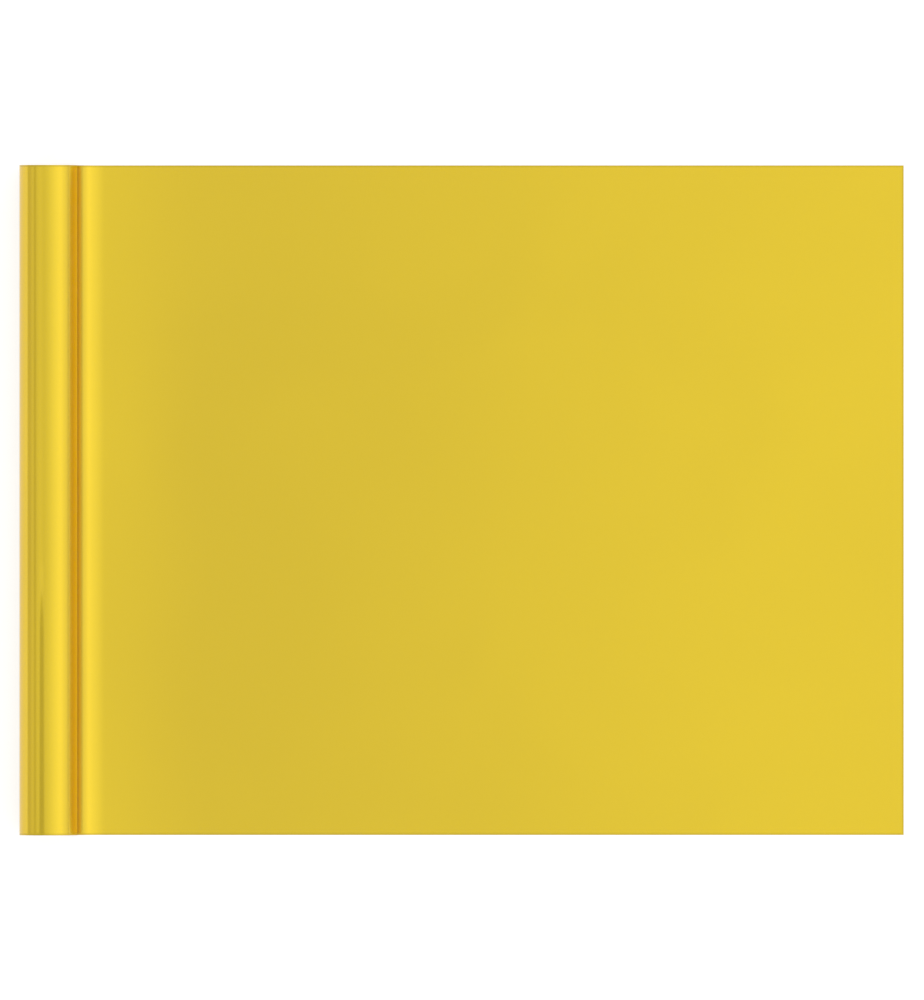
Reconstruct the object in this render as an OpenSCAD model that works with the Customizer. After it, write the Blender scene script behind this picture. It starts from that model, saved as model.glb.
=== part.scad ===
// A roll of mirror-gold sign vinyl, with a length of its web drawn off and lying flat.
// The core's axis is Y and the origin is its middle. The web is wound with its face
// outwards, comes over the top of the roll, leaves it low on the +X side, bends out
// and lies flat towards +X. The roll and the web lie on the plane z = -roll_r.

/* [Web] */
// Width of the film and its liner, along Y
web_width = 1220; // [610:10:1520]
// Thickness of the metallised face film
film_t = 0.075; // [0.06:0.005:0.1]
// Thickness of the adhesive coat under the film
adhesive_t = 0.025; // [0.02:0.005:0.03]
// Thickness of the siliconed release liner
liner_t = 0.12; // [0.1:0.01:0.16]

/* [Core] */
// Bore of the paperboard core, made to a 2 inch or a 3 inch spindle
core_bore_d = 76.2; // [50.8, 76.2]
// Wall of the core
core_wall = 5; // [4:0.5:8]
// Width, round the core, of the tape that holds the web's first edge
tape_width = 50; // [25:5:75]
// Thickness of that tape
tape_t = 0.14; // [0.1:0.01:0.16]

/* [Roll] */
// Turns of web on the core
turns = 44; // [20:4:60]
// Bands that the wound turns are grouped in
bands = 4; // [2:1:5]

/* [Draw-off] */
// Radius of the web's curve next to the table
table_r = 76; // [74:1:78]
// Radius of its curve half way up
middle_r = 50; // [48:1:52]
// Radius of its curve where it meets the bend beside the roll
upper_r = 37; // [35:1:39]
// Distance from the roll's side to where the web first lies flat
run_out_reach = 49; // [47:0.5:51]

/* [Laid sheet] */
// Length of web that lies flat, up to its cut end
laid_length = 1456; // [600:1:2400]
// Length of the film's end that peels back from the liner
peel_length = 60; // [30:5:150]

/* [Hidden] */
$fn = 240;

film_gold = [0.86, 0.74, 0.24];
liner_white = [0.93, 0.92, 0.88];
adhesive_grey = [0.80, 0.82, 0.83];
board_brown = [0.69, 0.56, 0.40];
tape_cream = [0.90, 0.87, 0.76];

// Heights in the web, from the liner's underside to the film's face
liner_top = liner_t;
adhesive_top = liner_top + adhesive_t;
web_t = adhesive_top + film_t;

// The first turn stands off the core by the tape and its clearances.
tape_clearance = 0.04;
core_r = core_bore_d / 2 + core_wall;
tape_r = core_r + tape_clearance;
first_r = tape_r + tape_t + tape_clearance;
tape_end_gap = 10;

// Each band of the roll holds the liner of its turns, then their film and adhesive.
band_t = turns / bands * web_t;
band_liner_t = turns / bands * liner_t;
roll_r = first_r + bands * band_t;
ground_z = -roll_r;

// Width in degrees of the flats on the roll, one of which is at the bottom
flat_angle = 3;
// Clearance between the turning roll and the standing bend
roll_gap = 0.32;
leave_r = roll_r + roll_gap;
bend_steps = 20;
run_out_steps = 7;

run_out_x = roll_r + run_out_reach;
laid_end_x = run_out_x + laid_length;
peel_x = laid_end_x - peel_length;

// From the table up to the bend the web's curve tightens in three arcs, each touching
// the next from outside. The arcs meet at these angles round their centres.
meeting_angles = [-90, -107, -126, -142];
run_out_places = ["lower", "middle", "upper"];
run_out_radii = [table_r, middle_r, upper_r];
table_c = [run_out_x, ground_z + table_r];
middle_c = on_circle(table_c, table_r - middle_r, meeting_angles[1]);
upper_c = on_circle(middle_c, middle_r - upper_r, meeting_angles[2]);
run_out_centres = [table_c, middle_c, upper_c];

// The bend carries on from the last arc and touches the roll's clearance circle from
// outside, which settles its radius.
bend_start = on_circle(upper_c, upper_r, meeting_angles[3]);
inward = on_circle([0, 0], -1, meeting_angles[3]);
bend_r = (bend_start * bend_start - leave_r * leave_r) / (leave_r - bend_start * inward) / 2;
bend_c = bend_start + bend_r * inward;
leave_angle = atan2(bend_c.y, bend_c.x) - 180;

function on_circle(c, r, angle) = c + r * [cos(angle), sin(angle)];

function arc(c, r, from, to, steps) =
    [for (i = [0:steps]) on_circle(c, r, from + (to - from) * i / steps)];

function reversed(points) = [for (i = [len(points) - 1:-1:0]) points[i]];

// Outline of a many-sided disc whose flats touch the radius r
function flats(r) =
    [for (a = [flat_angle / 2:flat_angle:360]) on_circle([0, 0], r / cos(flat_angle / 2), a)];

// Stands a side view, drawn in X and Z, up across the web's width
module across_web(width = web_width) {
    rotate([90, 0, 0]) linear_extrude(height = width, center = true) children();
}

module ring(inner_r, outer_r) {
    across_web() difference() {
        circle(r = outer_r);
        circle(r = inner_r);
    }
}

// Layer between two arcs round the same centre
module curved_layer(c, r_a, r_b, from, to, steps, width = web_width) {
    across_web(width)
        polygon(concat(arc(c, r_a, from, to, steps), reversed(arc(c, r_b, from, to, steps))));
}

module bend_layer(low, high) {
    curved_layer(bend_c, bend_r - low, bend_r - high, leave_angle, meeting_angles[3], bend_steps);
}

module run_out_layer(k, low, high) {
    curved_layer(run_out_centres[k], run_out_radii[k] - low, run_out_radii[k] - high,
                 meeting_angles[k + 1], meeting_angles[k], run_out_steps);
}

module flat_layer(from_x, to_x, low, high) {
    translate([from_x, -web_width / 2, ground_z + low])
        cube([to_x - from_x, web_width, high - low]);
}

// Paperboard tube that the web is wound on
module core_tube() {
    color(board_brown) ring(core_bore_d / 2, core_r);
}

// Tape along the core that holds the web's first edge
module start_tape() {
    half_angle = tape_width / core_r / 2 * 180 / PI;
    color(tape_cream)
        curved_layer([0, 0], tape_r, tape_r + tape_t, 90 - half_angle, 90 + half_angle,
                     bend_steps, web_width - 2 * tape_end_gap);
}

// Liner of the wound turns, one ring for each band
module wound_liner() {
    color(liner_white) {
        across_web() difference() {
            circle(r = first_r + band_liner_t);
            polygon(flats(first_r));
        }
        for (i = [1:bands - 1])
            ring(first_r + i * band_t, first_r + i * band_t + band_liner_t);
    }
}

// Film and adhesive of the wound turns, one ring for each band but the outside one
module wound_film() {
    color(film_gold) for (i = [0:bands - 2])
        ring(first_r + i * band_t + band_liner_t, first_r + (i + 1) * band_t);
}

// Film and adhesive of the outside band, whose face is the roll's surface
module outer_film_turns() {
    color(film_gold) across_web() difference() {
        polygon(flats(roll_r));
        polygon(flats(roll_r - band_t + band_liner_t));
    }
}

// Tight bend of the web beside the roll, in its three layers
module bend_liner() {
    color(liner_white) bend_layer(0, liner_top);
}

module bend_adhesive() {
    color(adhesive_grey) bend_layer(liner_top, adhesive_top);
}

module bend_film() {
    color(film_gold) bend_layer(adhesive_top, web_t);
}

// Curves of the web down to the table, in three arcs numbered from the table up
module run_out_liner(k) {
    color(liner_white) run_out_layer(k, 0, liner_top);
}

module run_out_adhesive(k) {
    color(adhesive_grey) run_out_layer(k, liner_top, adhesive_top);
}

module run_out_film(k) {
    color(film_gold) run_out_layer(k, adhesive_top, web_t);
}

// Web that lies flat; its liner goes on under the film's end
module laid_liner() {
    color(liner_white) flat_layer(run_out_x, laid_end_x, 0, liner_top);
}

module laid_adhesive() {
    color(adhesive_grey) flat_layer(run_out_x, peel_x, liner_top, adhesive_top);
}

module laid_film() {
    color(film_gold) flat_layer(run_out_x, peel_x, adhesive_top, web_t);
}

// End of the film, which folds up and back from the liner about its top inner edge
module end_adhesive() {
    color(adhesive_grey) flat_layer(peel_x, laid_end_x, liner_top, adhesive_top);
}

module end_film() {
    color(film_gold) flat_layer(peel_x, laid_end_x, adhesive_top, web_t);
}

core_tube();
start_tape();
wound_liner();
wound_film();
outer_film_turns();
bend_liner();
bend_adhesive();
bend_film();
for (k = [0:len(run_out_places) - 1]) {
    place = run_out_places[k];
    run_out_liner(k);
    run_out_adhesive(k);
    run_out_film(k);
}
laid_liner();
laid_adhesive();
laid_film();
end_adhesive();
end_film();
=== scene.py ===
# %% [markdown]
# # A roll of mirror-gold sign vinyl
#
# Sign vinyl is a sandwich of three thin layers: a metallised face film, a coat of
# adhesive and a paper release liner. The sandwich, called the web, is wound on a
# paperboard core. Here about a metre and a half of it has been drawn off over the
# top of the roll and lies flat on a white table.
#
# The engineering model is loaded first and is never moved. It says where the roll,
# the bend and the sheet are. The cells below give each layer its real look.

# %% Load the frame
import bpy
import math
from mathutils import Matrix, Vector


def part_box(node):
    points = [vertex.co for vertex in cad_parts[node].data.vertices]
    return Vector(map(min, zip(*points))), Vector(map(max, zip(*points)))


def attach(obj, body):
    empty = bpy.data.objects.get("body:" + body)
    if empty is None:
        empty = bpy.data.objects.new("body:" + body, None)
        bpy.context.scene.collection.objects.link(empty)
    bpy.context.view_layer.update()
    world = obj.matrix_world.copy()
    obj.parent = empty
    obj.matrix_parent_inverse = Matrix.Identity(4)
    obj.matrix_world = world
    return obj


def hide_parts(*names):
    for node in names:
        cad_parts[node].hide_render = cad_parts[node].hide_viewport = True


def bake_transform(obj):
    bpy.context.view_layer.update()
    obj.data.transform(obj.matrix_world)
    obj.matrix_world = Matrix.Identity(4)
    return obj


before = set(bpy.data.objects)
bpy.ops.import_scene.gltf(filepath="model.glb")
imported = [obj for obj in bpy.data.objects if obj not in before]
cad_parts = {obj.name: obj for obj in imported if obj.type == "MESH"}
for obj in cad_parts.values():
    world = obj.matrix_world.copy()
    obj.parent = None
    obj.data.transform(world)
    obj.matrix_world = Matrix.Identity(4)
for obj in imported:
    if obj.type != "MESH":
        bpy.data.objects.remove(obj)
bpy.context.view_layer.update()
scene = bpy.context.scene

# %% [markdown]
# ## The web's sizes
#
# Every length comes from the engineering model's own boxes: the roll's radius from
# the highest point of its outside turns, the layers' heights from the sheet that
# lies flat. Only the radii of the drawn-off curve are the design's own round numbers.

# %% Read the sizes
MM = 0.001

roll_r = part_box("outer_film_turns")[1].z
ground_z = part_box("laid_liner")[0].z
web_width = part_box("laid_liner")[1].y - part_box("laid_liner")[0].y
liner_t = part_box("laid_liner")[1].z - ground_z
adhesive_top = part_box("laid_adhesive")[1].z - ground_z
web_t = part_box("laid_film")[1].z - ground_z
run_out_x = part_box("laid_film")[0].x
peel_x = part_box("end_film")[0].x
laid_end_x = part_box("end_film")[1].x

tape_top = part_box("start_tape")[1].z
turns = round((roll_r - tape_top) / web_t)
first_r = roll_r - turns * web_t

roll_gap = 0.32 * MM
print(f"roll radius {roll_r / MM:.2f} mm, web {web_t / MM:.3f} mm, {turns} turns from {first_r / MM:.2f} mm")

# %% [markdown]
# ## The web's path
#
# Seen from the side, the whole web is one line: a spiral round the core, a stretch
# that eases off the roll, a bend that relaxes in steps, and a straight on the table.
# The line could be drawn as a Bezier curve, but arcs are what the engineering model
# has, so the same arcs are worked out here from the same rule. Going up from the
# table, each arc is tighter than the one before and carries on in its direction. The
# last one, the bend, has whatever radius makes it touch the roll from outside.
#
# Angles go round the core's axis, from +X towards +Z.

# %% Where the web leaves the roll
# Radius and turn of each arc, from the table up
RELAX = ((76 * MM, math.radians(17)), (50 * MM, math.radians(19)), (37 * MM, math.radians(16)))


def on_circle(centre, radius, angle):
    return centre + radius * Vector((math.cos(angle), math.sin(angle)))


leave_r = roll_r + roll_gap
stretches = []
meet = Vector((run_out_x, ground_z))
angle = -math.pi / 2
for radius, turned in RELAX:
    centre = on_circle(meet, -radius, angle)
    stretches.append((centre, radius, angle - turned, angle))
    angle -= turned
    meet = on_circle(centre, radius, angle)
inward = on_circle(Vector((0, 0)), -1, angle)
bend_r = (meet.length_squared - leave_r ** 2) / (2 * (leave_r - meet.dot(inward)))
bend_c = meet + bend_r * inward
leave_angle = math.atan2(bend_c.y, bend_c.x)
stretches.append((bend_c, bend_r, leave_angle - math.pi, angle))
ease_angle = math.radians(7)
wound_end = leave_angle + ease_angle
print(f"the web leaves the roll {-math.degrees(leave_angle):.1f} degrees below the core's axis,",
      f"on a bend of {bend_r / MM:.1f} mm")

# %% [markdown]
# The path is handed to Geometry Nodes as a row of points. Each point carries the
# direction that the film's face looks in, the length of web up to it, and how loose
# the web is there: tight on the roll, free to ripple on the table.

# %% Helpers that make the path
def arc(centre, radius, start, end, steps):
    return [on_circle(centre, radius, start + (end - start) * i / steps) for i in range(steps + 1)]


def smooth(t):
    t = min(max(t, 0.0), 1.0)
    return t * t * (3 - 2 * t)


def spiral(first_turn, last_turn, steps_per_turn):
    """Underside of the wound web, outwards from turn first_turn to turn last_turn."""
    steps = round((last_turn - first_turn) * steps_per_turn)
    points = []
    for i in range(steps + 1):
        turn = first_turn + (last_turn - first_turn) * i / steps
        angle = wound_end + (turns - turn) * math.tau
        points.append(on_circle(Vector((0, 0)), first_r + (turn - 1) * web_t, angle))
    return points


def drawn_off():
    """Underside of the web from the roll to its cut end."""
    ease_steps, arc_step = 8, math.radians(1.5)
    flat_steps, peel_steps = 118, 24
    outer_r = roll_r - web_t
    points = []
    for i in range(ease_steps):
        t = i / ease_steps
        radius = outer_r + (leave_r - outer_r) * smooth(t)
        points.append(on_circle(Vector((0, 0)), radius, wound_end - t * ease_angle))
    for centre, radius, start, end in reversed(stretches):
        points += arc(centre, radius, start, end, round((end - start) / arc_step))[:-1]
    points.append(Vector((run_out_x, ground_z)))
    for start, end, steps in ((run_out_x, peel_x, flat_steps), (peel_x, laid_end_x, peel_steps)):
        points += [Vector((start + (end - start) * i / steps, ground_z)) for i in range(1, steps + 1)]
    return points


def length_of(points):
    return sum((b - a).length for a, b in zip(points, points[1:]))


wound_line = spiral(1, turns, 72)
web_line = drawn_off()
wound_length = length_of(wound_line)
web_length = wound_length + length_of(web_line)
print(f"web wound {wound_length:.2f} m, whole web {web_length:.2f} m")

# %% [markdown]
# ## One Geometry Nodes tree that lays a strip
#
# Film, adhesive, liner and the core's plies are all flat strips laid along a path.
# They could each be swept with Curve to Mesh, but a strip is much wider than it is
# thick, and needs columns across its width to ripple. So the tree takes a subdivided
# box instead, and sends each of its points to a place on the path: the box's length
# runs along the path, its width along the core, and its height along the face
# direction. A box is closed to begin with, so the strip is closed too.

# %% Small helpers for node trees
def add(tree, kind, inputs=None, **settings):
    """Adds a node. inputs are plain values or other nodes' outputs, by socket name or number."""
    node = tree.nodes.new(kind)
    for key, value in settings.items():
        setattr(node, key, value)
    for key, value in (inputs or {}).items():
        if isinstance(value, bpy.types.NodeSocket):
            tree.links.new(value, node.inputs[key])
        else:
            node.inputs[key].default_value = value
    return node


def math_node(tree, operation, a, b=None, clamp=False):
    """One sum; a and b are numbers or output sockets."""
    node = tree.nodes.new("ShaderNodeMath")
    node.operation = operation
    node.use_clamp = clamp
    for slot, value in enumerate((a, b)):
        if isinstance(value, bpy.types.NodeSocket):
            tree.links.new(value, node.inputs[slot])
        elif value is not None:
            node.inputs[slot].default_value = value
    return node.outputs[0]


# %% Build the strip tree
def sample_on_path(tree, path, name, kind, index):
    """Value of a named attribute of the path at the point that index counts to."""
    value = add(tree, "GeometryNodeInputNamedAttribute", {"Name": name}, data_type=kind)
    return add(tree, "GeometryNodeSampleIndex",
               {"Geometry": path, "Value": value.outputs["Attribute"], "Index": index},
               data_type=kind, domain="POINT").outputs[0]


def strip_noise(tree, along, across, size, seed):
    """Smooth noise, 0 to 1, over the strip as it would lie flat."""
    where = add(tree, "ShaderNodeCombineXYZ", {"Z": seed, "X": along, "Y": across})
    frequency = math_node(tree, "DIVIDE", 1.0, size)
    noise = add(tree, "ShaderNodeTexNoise", {"Detail": 1.0, "Roughness": 0.4,
                 "Vector": where.outputs[0], "Scale": frequency}, noise_dimensions="3D")
    return noise.outputs["Fac"]


def build_strip_tree():
    tree = bpy.data.node_groups.new("lay_strip", "GeometryNodeTree")
    face = tree.interface
    face.new_socket("Path", in_out="INPUT", socket_type="NodeSocketGeometry")
    for name, default in (("Width", 1.0), ("Low", 0.0), ("High", 0.001), ("Ripple", 0.0),
                          ("Ripple Size", 0.4), ("Wander", 0.0), ("Wander Size", 1.0)):
        face.new_socket(name, in_out="INPUT", socket_type="NodeSocketFloat").default_value = default
    face.new_socket("Columns", in_out="INPUT", socket_type="NodeSocketInt").default_value = 2
    face.new_socket("Finish", in_out="INPUT", socket_type="NodeSocketMaterial")
    face.new_socket("Strip", in_out="OUTPUT", socket_type="NodeSocketGeometry")
    source = add(tree, "NodeGroupInput").outputs
    path = source["Path"]

    count = add(tree, "GeometryNodeAttributeDomainSize", {"Geometry": path},
                component="MESH").outputs["Point Count"]
    box = add(tree, "GeometryNodeMeshCube", {"Size": (1, 1, 1), "Vertices Z": 2,
               "Vertices X": count, "Vertices Y": source["Columns"]})
    place = add(tree, "ShaderNodeSeparateXYZ",
                {0: add(tree, "GeometryNodeInputPosition").outputs[0]}).outputs
    steps = math_node(tree, "SUBTRACT", count, 1.0)
    index = math_node(tree, "ROUND", math_node(
        tree, "MULTIPLY", math_node(tree, "ADD", place["X"], 0.5), steps))

    at = add(tree, "GeometryNodeSampleIndex",
             {"Geometry": path, "Value": add(tree, "GeometryNodeInputPosition").outputs[0],
              "Index": index}, data_type="FLOAT_VECTOR", domain="POINT").outputs[0]
    facing = sample_on_path(tree, path, "facing", "FLOAT_VECTOR", index)
    run = sample_on_path(tree, path, "run", "FLOAT", index)
    loose = sample_on_path(tree, path, "loose", "FLOAT", index)

    across = math_node(tree, "MULTIPLY", place["Y"], source["Width"])
    wander = math_node(tree, "MULTIPLY", source["Wander"], math_node(
        tree, "SUBTRACT", strip_noise(tree, run, 0.0, source["Wander Size"], 3.7), 0.5))
    ripple = math_node(tree, "MULTIPLY", math_node(tree, "MULTIPLY", source["Ripple"], loose),
                       strip_noise(tree, run, across, source["Ripple Size"], 8.3))
    height = add(tree, "ShaderNodeMapRange", {"From Min": -0.5, "From Max": 0.5,
                  "Value": place["Z"], "To Min": source["Low"], "To Max": source["High"]})
    lift = math_node(tree, "ADD", height.outputs[0], ripple)

    lifted = add(tree, "ShaderNodeVectorMath", {0: facing, "Scale": lift},
                 operation="SCALE").outputs[0]
    centre = add(tree, "ShaderNodeVectorMath", {0: at, 1: lifted}, operation="ADD")
    middle = add(tree, "ShaderNodeSeparateXYZ", {0: centre.outputs[0]}).outputs
    sideways = math_node(tree, "ADD", middle["Y"], math_node(tree, "ADD", across, wander))
    final = add(tree, "ShaderNodeCombineXYZ",
                {"X": middle["X"], "Y": sideways, "Z": middle["Z"]}).outputs[0]

    flat = add(tree, "ShaderNodeCombineXYZ", {"X": run, "Y": across}).outputs[0]
    mapped = add(tree, "GeometryNodeStoreNamedAttribute", {"Name": "UVMap",
                  "Geometry": box.outputs["Mesh"], "Value": flat},
                 data_type="FLOAT2", domain="CORNER")
    moved = add(tree, "GeometryNodeSetPosition",
                {"Geometry": mapped.outputs[0], "Position": final})
    sharp = add(tree, "FunctionNodeCompare", {"B": math.radians(40),
                 "A": add(tree, "GeometryNodeInputMeshEdgeAngle").outputs["Unsigned Angle"]},
                data_type="FLOAT", operation="GREATER_THAN").outputs[0]
    rounded = add(tree, "GeometryNodeSetShadeSmooth", {"Shade Smooth": True,
                   "Geometry": moved.outputs[0]}, domain="FACE")
    edged = add(tree, "GeometryNodeSetShadeSmooth", {"Shade Smooth": False,
                 "Geometry": rounded.outputs[0], "Selection": sharp}, domain="EDGE")
    real = add(tree, "GeometryNodeRealizeInstances", {"Geometry": edged.outputs[0]})
    coloured = add(tree, "GeometryNodeSetMaterial",
                   {"Geometry": real.outputs[0], "Material": source["Finish"]})
    add(tree, "NodeGroupOutput", {"Strip": coloured.outputs[0]})
    return tree


strip_tree = build_strip_tree()
print("strip tree:", len(strip_tree.nodes), "nodes")

# %% Lay a strip along a path
def path_points(name, side_view, run_from=0.0, loose=None):
    """Mesh of bare points in the frame, with the path's attributes on them."""
    mesh = bpy.data.meshes.new(name)
    mesh.from_pydata([(point.x, 0, point.y) for point in side_view], [], [])
    last = len(side_view) - 1
    facings, runs, slacks = [], [], []
    length = 0.0
    for i, point in enumerate(side_view):
        before = (point - side_view[i - 1]).normalized() if i else Vector((0, 0))
        after = (side_view[i + 1] - point).normalized() if i < last else Vector((0, 0))
        heading = (before + after).normalized()
        if i:
            length += (point - side_view[i - 1]).length
        facings += [-heading.y, 0, heading.x]
        runs.append(run_from + length)
        slacks.append(loose(point, length) if loose else 0.0)
    mesh.attributes.new("facing", "FLOAT_VECTOR", "POINT").data.foreach_set("vector", facings)
    mesh.attributes.new("run", "FLOAT", "POINT").data.foreach_set("value", runs)
    mesh.attributes.new("loose", "FLOAT", "POINT").data.foreach_set("value", slacks)
    return mesh, length


def lay_strip(name, path, finish, **inputs):
    """Runs the strip tree along a path and returns the plain mesh it makes."""
    maker = bpy.data.objects.new(name + "_maker", path)
    scene.collection.objects.link(maker)
    modifier = maker.modifiers.new("lay", "NODES")
    modifier.node_group = strip_tree
    wanted = {key.replace("_", " ").title(): value for key, value in inputs.items()}
    wanted["Finish"] = finish
    for item in strip_tree.interface.items_tree:
        if item.in_out == "INPUT" and item.name in wanted:
            modifier[item.identifier] = wanted[item.name]
    maker.update_tag()
    depsgraph = bpy.context.evaluated_depsgraph_get()
    mesh = bpy.data.meshes.new_from_object(maker.evaluated_get(depsgraph))
    mesh.name = name
    mesh.materials.pop(index=0)
    bpy.data.objects.remove(maker)
    piece = bpy.data.objects.new(name, mesh)
    scene.collection.objects.link(piece)
    print(f"{name}: {len(mesh.polygons)} faces")
    return piece


# %% [markdown]
# ## Finishes
#
# A shared node group gives the fine streaks that rolled and coated materials have:
# noise that is drawn out along one direction. Each material places it with its own
# fineness and stretch. An image of streaks would repeat along fourteen metres of web;
# noise never does.

# %% The streak group
def build_streaks():
    tree = bpy.data.node_groups.new("streaks", "ShaderNodeTree")
    face = tree.interface
    face.new_socket("Vector", in_out="INPUT", socket_type="NodeSocketVector")
    for name, default in (("Fineness", 100.0), ("Stretch", 20.0), ("Low", 0.0), ("High", 1.0)):
        face.new_socket(name, in_out="INPUT", socket_type="NodeSocketFloat").default_value = default
    face.new_socket("Value", in_out="OUTPUT", socket_type="NodeSocketFloat")
    source = add(tree, "NodeGroupInput").outputs
    parts = add(tree, "ShaderNodeSeparateXYZ", {0: source["Vector"]}).outputs
    drawn = math_node(tree, "DIVIDE", parts["X"], source["Stretch"])
    where = add(tree, "ShaderNodeCombineXYZ", {"X": drawn, "Y": parts["Y"], "Z": parts["Z"]})
    noise = add(tree, "ShaderNodeTexNoise", {"Detail": 4.0, "Roughness": 0.6,
                 "Vector": where.outputs[0], "Scale": source["Fineness"]})
    spread = add(tree, "ShaderNodeMapRange", {"From Min": 0.3, "From Max": 0.7,
                  "Value": noise.outputs["Fac"], "To Min": source["Low"], "To Max": source["High"]})
    add(tree, "NodeGroupOutput", {"Value": spread.outputs[0]})
    return tree


streaks = build_streaks()


def place_streaks(tree, vector, fineness, stretch, low, high):
    return add(tree, "ShaderNodeGroup",
               {"Fineness": fineness, "Stretch": stretch, "Low": low, "High": high,
                "Vector": vector}, node_tree=streaks).outputs[0]


def new_material(name):
    material = bpy.data.materials.new(name)
    material.use_nodes = True
    tree = material.node_tree
    return material, tree, tree.nodes["Principled BSDF"]


def web_vector(tree):
    """Place on the web as it would lie flat: X along it, Y across it, in metres."""
    return add(tree, "ShaderNodeUVMap", uv_map="UVMap").outputs[0]


def bump(tree, shader, height, distance, strength=1.0):
    node = add(tree, "ShaderNodeBump", {"Strength": strength, "Distance": distance,
                "Height": height})
    tree.links.new(node.outputs[0], shader.inputs["Normal"])


# %% [markdown]
# ### Mirror-gold film
#
# The face is aluminium vapour behind a gold-tinted polyester. A gold-coloured metal
# would be the usual shader for it, but its colour would be the same from every side.
# Light that comes in at a slant crosses more of the tinted polyester, so the film goes
# deeper gold and then orange there. So the metal is a neutral base, a little blurred,
# and the polyester is a sharp coat with the tint. The coat's own small white
# reflection is nearly the only blue that the film has.
#
# The film is darker and a little rougher in a thin band along its sides and cut end.
# The sheet is also painted a shade dimmer near the bend and brighter towards its cut
# end. That is painted light: it stands in for the light over the sheet, which is dimmer
# near the roll and brighter away from it. It is painted into the film because the tent's
# light only changes with direction, and a flat mirror shows one direction all over.

# %% Film material
def smooth_range(tree, value, start, end, low=0.0, high=1.0):
    """Goes smoothly from low at start to high at end."""
    return add(tree, "ShaderNodeMapRange", {"Value": value, "From Min": start, "From Max": end,
               "To Min": low, "To Max": high}, interpolation_type="SMOOTHSTEP").outputs[0]


def make_film():
    material, tree, shader = new_material("mirror_gold_film")
    web = web_vector(tree)
    parts = add(tree, "ShaderNodeSeparateXYZ", {0: web}).outputs

    past_bend = wound_length + 0.07
    # Painted light: the sheet's value is painted a shade dimmer just past the bend and brighter towards the
    # cut end, standing in for light over the sheet that the tent cannot vary by place.
    painted_shade_near_bend = smooth_range(tree, parts["X"], past_bend, past_bend + 0.20, 0.90, 0.832)
    painted_light_towards_end = smooth_range(tree, parts["X"], past_bend + 0.20, past_bend + 1.45, 0.0, 0.13)
    metal_and_painted_light = math_node(tree, "ADD", painted_shade_near_bend, painted_light_towards_end)
    clouds = add(tree, "ShaderNodeTexNoise", {"Scale": 2.2, "Detail": 2.0, "Roughness": 0.5,
                 "Distortion": 0.6, "Vector": web})
    clouds_and_painted_light = math_node(tree, "ADD", metal_and_painted_light,
                       smooth_range(tree, clouds.outputs["Fac"], 0.3, 0.7, -0.012, 0.012))
    # A thin band along the sides and the cut end is made darker and a little rougher.
    side = smooth_range(tree, math_node(tree, "ABSOLUTE", parts["Y"]),
                        web_width / 2 - 4.2 * MM, web_width / 2 - 2.2 * MM)
    end = smooth_range(tree, parts["X"], web_length - 4.2 * MM, web_length - 2.2 * MM)
    edge_band = math_node(tree, "MAXIMUM", side, end)
    edge_dimming = math_node(tree, "SUBTRACT", 1.0, math_node(tree, "MULTIPLY", edge_band, 0.18))
    tone = add(tree, "ShaderNodeCombineColor", {0: 0.0, 1: 0.0,
               2: math_node(tree, "MULTIPLY", clouds_and_painted_light, edge_dimming)}, mode="HSV").outputs[0]
    tree.links.new(tone, shader.inputs["Base Color"])

    haze = place_streaks(tree, web, 30.0, 12.0, 0.17, 0.21)
    tree.links.new(math_node(tree, "ADD", haze, math_node(tree, "MULTIPLY", edge_band, 0.2)),
                   shader.inputs["Roughness"])
    shader.inputs["Metallic"].default_value = 1.0
    shader.inputs["Coat Weight"].default_value = 1.0
    shader.inputs["Coat Roughness"].default_value = 0.04
    shader.inputs["Coat IOR"].default_value = 1.5
    shader.inputs["Coat Tint"].default_value = (0.800, 0.572, 0.0022, 1)
    drawn_lines = place_streaks(tree, web, 900.0, 40.0, 0.0, 1.0)
    bump(tree, shader, drawn_lines, 0.0015 * MM)
    return material


film = make_film()

# %% [markdown]
# ### Liner, adhesive, board and tape
#
# The liner is bleached paper with a silicone skin: a satin white with faint fibre
# clouds. The adhesive side is the metal seen from behind through a clear, slightly
# uneven coat. The core is brown kraft board, wound from strips: its plies show as rings
# at its ends, and the joint between two strips as a helix inside the bore. Both follow
# rules, so the shader works them out from the place on the tube.

# %% Liner and adhesive materials
def make_liner():
    material, tree, shader = new_material("siliconed_liner")
    web = web_vector(tree)
    fibres = place_streaks(tree, web, 350.0, 3.0, 0.0, 1.0)
    tone = add(tree, "ShaderNodeMix", {"A": (0.80, 0.79, 0.74, 1), "B": (0.88, 0.87, 0.83, 1),
                "Factor": fibres}, data_type="RGBA")
    tree.links.new(tone.outputs["Result"], shader.inputs["Base Color"])
    tree.links.new(place_streaks(tree, web, 60.0, 2.0, 0.32, 0.42), shader.inputs["Roughness"])
    bump(tree, shader, fibres, 0.006 * MM)
    return material


def make_adhesive():
    material, tree, shader = new_material("clear_adhesive_on_metal")
    web = web_vector(tree)
    wet = place_streaks(tree, web, 700.0, 1.5, 0.0, 1.0)
    tone = add(tree, "ShaderNodeMix", {"A": (0.50, 0.51, 0.50, 1), "B": (0.60, 0.61, 0.61, 1),
                "Factor": wet}, data_type="RGBA")
    tree.links.new(tone.outputs["Result"], shader.inputs["Base Color"])
    tree.links.new(place_streaks(tree, web, 120.0, 2.0, 0.30, 0.42), shader.inputs["Roughness"])
    shader.inputs["Metallic"].default_value = 0.75
    shader.inputs["Coat Weight"].default_value = 0.6
    shader.inputs["Coat Roughness"].default_value = 0.12
    bump(tree, shader, wet, 0.010 * MM)
    return material


liner = make_liner()
adhesive = make_adhesive()

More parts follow.
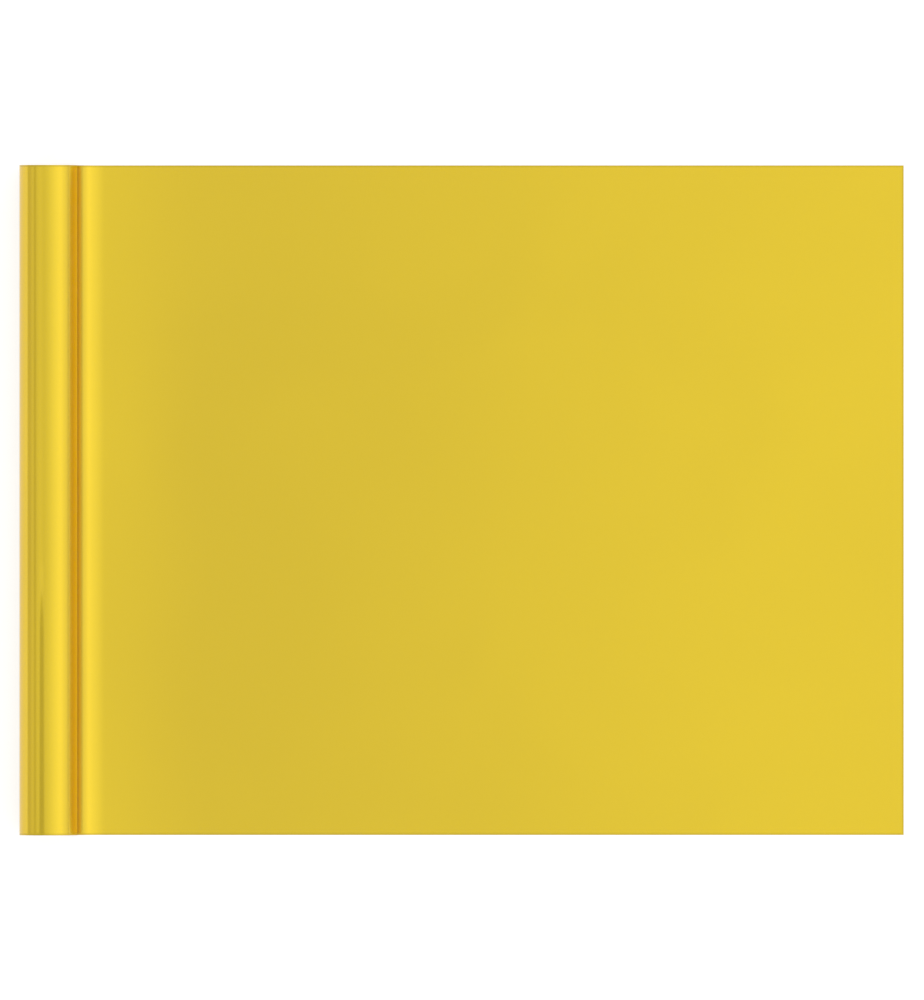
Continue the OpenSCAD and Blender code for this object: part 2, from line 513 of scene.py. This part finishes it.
# %% Board and tape materials
def make_board():
    material, tree, shader = new_material("kraft_board")
    place = add(tree, "ShaderNodeTexCoord").outputs["Object"]
    fibres = place_streaks(tree, place, 260.0, 0.3, 0.0, 1.0)
    parts = add(tree, "ShaderNodeSeparateXYZ", {0: place}).outputs
    radius = math_node(tree, "SQRT", math_node(
        tree, "ADD", math_node(tree, "MULTIPLY", parts["X"], parts["X"]),
        math_node(tree, "MULTIPLY", parts["Z"], parts["Z"])))
    ply_t, seam_pitch = 0.5 * MM, 140 * MM
    ply = math_node(tree, "FRACT", math_node(tree, "DIVIDE", radius, ply_t))
    end_face = math_node(tree, "GREATER_THAN", math_node(tree, "ABSOLUTE", parts["Y"]),
                         web_width / 2 - 0.2 * MM)
    glue_line = math_node(tree, "MULTIPLY", end_face, math_node(tree, "GREATER_THAN", ply, 0.86))
    round_core = math_node(tree, "DIVIDE", math_node(tree, "ARCTAN2", parts["Z"], parts["X"]), math.tau)
    winding = math_node(tree, "ADD", math_node(tree, "DIVIDE", parts["Y"], seam_pitch), round_core)
    from_seam = math_node(tree, "ABSOLUTE", math_node(
        tree, "SUBTRACT", math_node(tree, "FRACT", winding), 0.5))
    seam = math_node(tree, "LESS_THAN", from_seam, 0.004)
    glue = math_node(tree, "MAXIMUM", glue_line, seam)
    shade = add(tree, "ShaderNodeMix", {"A": (0.36, 0.235, 0.125, 1), "B": (0.50, 0.345, 0.20, 1),
                 "Factor": fibres}, data_type="RGBA")
    glued = add(tree, "ShaderNodeMix", {"B": (0.22, 0.13, 0.065, 1),
                 "Factor": math_node(tree, "MULTIPLY", glue, 0.6),
                 "A": shade.outputs["Result"]}, data_type="RGBA")
    tree.links.new(glued.outputs["Result"], shader.inputs["Base Color"])
    shader.inputs["Roughness"].default_value = 0.85
    bump(tree, shader, fibres, 0.05 * MM)
    return material


def make_tape():
    material, tree, shader = new_material("creped_tape")
    place = add(tree, "ShaderNodeTexCoord").outputs["Object"]
    crepe = place_streaks(tree, place, 900.0, 4.0, 0.0, 1.0)
    tone = add(tree, "ShaderNodeMix", {"A": (0.66, 0.58, 0.40, 1), "B": (0.76, 0.69, 0.52, 1),
                "Factor": crepe}, data_type="RGBA")
    tree.links.new(tone.outputs["Result"], shader.inputs["Base Color"])
    shader.inputs["Roughness"].default_value = 0.7
    bump(tree, shader, crepe, 0.03 * MM)
    return material


board = make_board()
tape = make_tape()
for node_name, finish in (("core_tube", board), ("start_tape", tape)):
    node_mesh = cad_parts[node_name].data
    node_mesh.materials.clear()
    node_mesh.materials.append(finish)

# %% [markdown]
# ## The wound turns
#
# On the real roll film and liner go round together as one spiral. Rings would look
# the same from far off, but at the ends the layers' edges wander sideways by a few
# tenths of a millimetre as the winder hunts, and only a true spiral lets them do it
# smoothly. The adhesive is wound with the film, under it. The core and the tape under
# the first turn are the engineering model's own solids.

# %% Wind the roll
inner_turns, inner_length = path_points("inner_turns", spiral(1, turns - 1, 72))
all_turns, all_length = path_points("all_turns", wound_line)
winding = dict(width=web_width, columns=2, wander=0.5 * MM, wander_size=0.9)
wound_liner = lay_strip("wound_liner_spiral", all_turns, liner, low=0.0, high=liner_t, **winding)
wound_film = lay_strip("wound_film_spiral", inner_turns, film, low=liner_t, high=web_t, **winding)
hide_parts("wound_liner")
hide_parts("wound_film")
for piece, slot_name, length in ((wound_liner, "liner", all_length),
                                 (wound_film, "film", inner_length)):
    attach(piece, "roll")

# %% [markdown]
# The outside turn is what everyone sees, so it is a piece of its own with columns
# across its width. It lies a touch slack on the turn below.

# %% Wind the outside turn
def outside_slack(point, length):
    """Tight where the turn goes under, slack over the rest of its way round."""
    return smooth(length / (60 * MM)) * smooth((math.tau * roll_r - length) / (60 * MM))


outside, outside_length = path_points("outside", spiral(turns - 1, turns, 180),
                                      inner_length, outside_slack)
outer_turn = lay_strip("outer_turn", outside, film, width=web_width, columns=90,
                       low=liner_t, high=web_t, ripple=0.08 * MM, ripple_size=0.3)
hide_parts("outer_film_turns")
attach(outer_turn, "roll")

# %% [markdown]
# ## The web that has been drawn off
#
# One path serves all three layers, so they stay nested however they ripple. A web
# this thin never lies dead flat: it rises off the table by less than a millimetre in
# long soft waves, and a mirror finish shows every one. When the web is fed, the bend
# stays beside the roll and the flat part draws out.

# %% Lay the drawn-off web
def laid_slack(point, length):
    """None on the bend, all of it a hand's width along the table."""
    return smooth((point.x - run_out_x) / (150 * MM))


NEARLY = 0.001 * MM
split = next(i for i, point in enumerate(web_line)
             if point.x >= peel_x - NEARLY and point.y <= ground_z + NEARLY)
whole, whole_length = path_points("whole", web_line, wound_length, laid_slack)
to_peel, to_peel_length = path_points("to_peel", web_line[:split + 1], wound_length, laid_slack)
past_peel, past_peel_length = path_points("past_peel", web_line[split:],
                                          wound_length + to_peel_length, laid_slack)
print(f"drawn off {whole_length:.3f} m, peel line at {web_line[split].x:.4f} against {peel_x:.4f}")

laying = dict(width=web_width, columns=102, ripple=0.9 * MM, ripple_size=0.42)
LAYERS = (("film", film, adhesive_top, web_t, "adhesive"),
          ("adhesive", adhesive, liner_t, adhesive_top, "liner"),
          ("liner", liner, 0.0, liner_t, None))
for name, finish, low, high, below in LAYERS:
    path, length = (whole, whole_length) if name == "liner" else (to_peel, to_peel_length)
    piece = lay_strip(name + "_sheet", path, finish, low=low, high=high, **laying)
    arcs = [place + "_run_out_" + name for place in ("upper", "middle", "lower")]
    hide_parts("bend_" + name, *arcs, "laid_" + name)
    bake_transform(piece)

# %% [markdown]
# At its cut end the film can be peeled off the liner, adhesive and all. The last
# hand's width of both is a piece of its own, split off at the peel line.

# %% Lay the end that peels
for name, finish, low, high, below in LAYERS[:2]:
    piece = lay_strip(name + "_end", past_peel, finish, low=low, high=high, **laying)
    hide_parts("end_" + name)
    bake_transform(piece)

# %% [markdown]
# ## Table, light and camera
#
# The table is a white light table, which glows a little by itself, so that shadows on
# it stay faint. The light is a studio tent: brightest high on the right, dimmer on the
# left with one thin dark upright in it. Mirror film shows every bit of that as bands
# along the roll. Lamps in a dark room could make the same bands, but each would need
# its own soft edges; a colour ramp round the roll's axis has them all in one place.

# %% Light table
def make_table():
    material, tree, shader = new_material("white_light_table")
    place = add(tree, "ShaderNodeTexCoord").outputs["Object"]
    frost = add(tree, "ShaderNodeTexNoise", {"Scale": 40.0, "Detail": 3.0, "Vector": place})
    spread = add(tree, "ShaderNodeMapRange", {"To Min": 0.45, "To Max": 0.6,
                  "Value": frost.outputs["Fac"]})
    tree.links.new(spread.outputs[0], shader.inputs["Roughness"])
    shader.inputs["Base Color"].default_value = (0.40, 0.40, 0.40, 1)
    shader.inputs["Specular IOR Level"].default_value = 0.2
    shader.inputs["Emission Color"].default_value = (1, 1, 1, 1)
    shader.inputs["Emission Strength"].default_value = 0.69
    return material


def make_disc(name, radius, z, steps=96):
    mesh = bpy.data.meshes.new(name)
    rim = [(radius * math.cos(math.tau * i / steps), radius * math.sin(math.tau * i / steps), z)
           for i in range(steps)]
    mesh.from_pydata(rim, [], [list(range(steps))])
    disc = bpy.data.objects.new(name, mesh)
    scene.collection.objects.link(disc)
    return disc


table = make_disc("table", 9.0, ground_z - 0.15 * MM)
table.data.materials.append(make_table())

# %% Studio tent
# Lean from upright in degrees, and level
TENT = ((-110, 0.80), (-90, 0.80), (-82, 0.75), (-76, 0.79), (-66, 0.94), (-60, 0.91), (-54.5, 0.58),
        (-50, 0.86), (-44, 0.94), (-32, 0.985), (-17, 0.905), (0, 1.01), (24, 1.215), (42, 1.345),
        (53, 1.385), (64, 1.23), (72, 1.18), (80, 1.12), (87, 0.86), (95, 0.46))


def set_stops(ramp, stops):
    """Fills a colour ramp with grey stops, given as positions 0 to 1 and levels."""
    elements = ramp.color_ramp.elements
    elements[0].position = stops[0][0]
    elements[1].position = stops[-1][0]
    for position, level in stops[1:-1]:
        elements.new(position)
    for element, (position, level) in zip(elements, stops):
        element.color = (level, level, level, 1)


def build_world():
    world = bpy.data.worlds.new("studio_tent")
    world.use_nodes = True
    tree = world.node_tree
    direction = add(tree, "ShaderNodeTexCoord").outputs["Generated"]
    parts = add(tree, "ShaderNodeSeparateXYZ", {0: direction}).outputs
    lean = math_node(tree, "ARCTAN2", parts["X"], parts["Z"])
    first, last = TENT[0][0], TENT[-1][0]
    share = add(tree, "ShaderNodeMapRange",
                {"From Min": math.radians(first), "From Max": math.radians(last), "Value": lean})
    ramp = add(tree, "ShaderNodeValToRGB", {0: share.outputs[0]})
    set_stops(ramp, [((angle - first) / (last - first), level / 2) for angle, level in TENT])
    plain = add(tree, "ShaderNodeBackground", {"Color": (1, 1, 1, 1), "Strength": 0.95})
    tent = tree.nodes["Background"]
    tree.links.new(ramp.outputs[0], tent.inputs["Color"])
    tent.inputs["Strength"].default_value = 2.0
    seen = add(tree, "ShaderNodeLightPath").outputs["Is Camera Ray"]
    both = add(tree, "ShaderNodeMixShader",
               {0: seen, 1: tent.outputs[0], 2: plain.outputs[0]})
    tree.links.new(both.outputs[0], tree.nodes["World Output"].inputs["Surface"])
    return world


scene.world = build_world()
scene.view_settings.view_transform = "Standard"
scene.view_settings.look = "None"

# %% [markdown]
# A stand's grey arm, with a bright tip, reaches in low over the roll's near half. The
# roll mirrors it as one streak along its top that comes to a point. A crease in the
# film would look much the same from above; it is a reflection here, so the film itself
# stays sound. The arm is close to the roll because the film's blur would smear the
# point of a far one. It is hidden from the camera and from diffuse light, so that only
# mirrors see it.

# %% Arm over the roll
ARM_REACH = 0.4


def hang_over_roll(name, level, outline):
    """A glowing strip near the roll. outline holds Y and two leans from upright, in degrees."""
    corners = []
    for y, *leans in outline:
        for lean in leans:
            corner = on_circle(Vector((0, 0)), ARM_REACH, math.radians(90 - lean))
            corners.append((corner.x, y, corner.y))
    faces = [(i, i + 1, i + 3, i + 2) for i in range(0, len(corners) - 2, 2)]
    mesh = bpy.data.meshes.new(name)
    mesh.from_pydata(corners, [], faces)
    material, tree, shader = new_material(name + "_grey")
    tree.nodes.remove(shader)
    glow = add(tree, "ShaderNodeEmission", {"Color": (level, level, level, 1), "Strength": 1.0})
    tree.links.new(glow.outputs[0], tree.nodes["Material Output"].inputs["Surface"])
    mesh.materials.append(material)
    strip = bpy.data.objects.new(name, mesh)
    scene.collection.objects.link(strip)
    strip.visible_camera = False
    strip.visible_diffuse = False
    strip.visible_shadow = False


hang_over_roll("arm", 0.65, ((-0.178, -27, -22), (-0.228, -31.5, -17), (-0.56, -33, -15.5),
                             (-0.90, -37, -13)))
hang_over_roll("arm_tip", 1.04, ((-0.120, -32, -18), (-0.172, -33, -17)))

# %% Camera
# A long lens far above keeps the roll's ends in line with the sheet's edges.
FAR = 75.0
FRAME_HEIGHT = 1.8222
camera_data = bpy.data.cameras.new("camera")
camera_data.sensor_width = 36.0
camera_data.lens = 36.0 * FAR / FRAME_HEIGHT
camera_data.clip_start = 1.0
camera_data.clip_end = 100.0
camera = bpy.data.objects.new("camera", camera_data)
middle_x = (laid_end_x - roll_r) / 2
camera.location = (middle_x + 0.7 * MM, 0.3 * MM, ground_z + FAR)
scene.collection.objects.link(camera)
scene.camera = camera
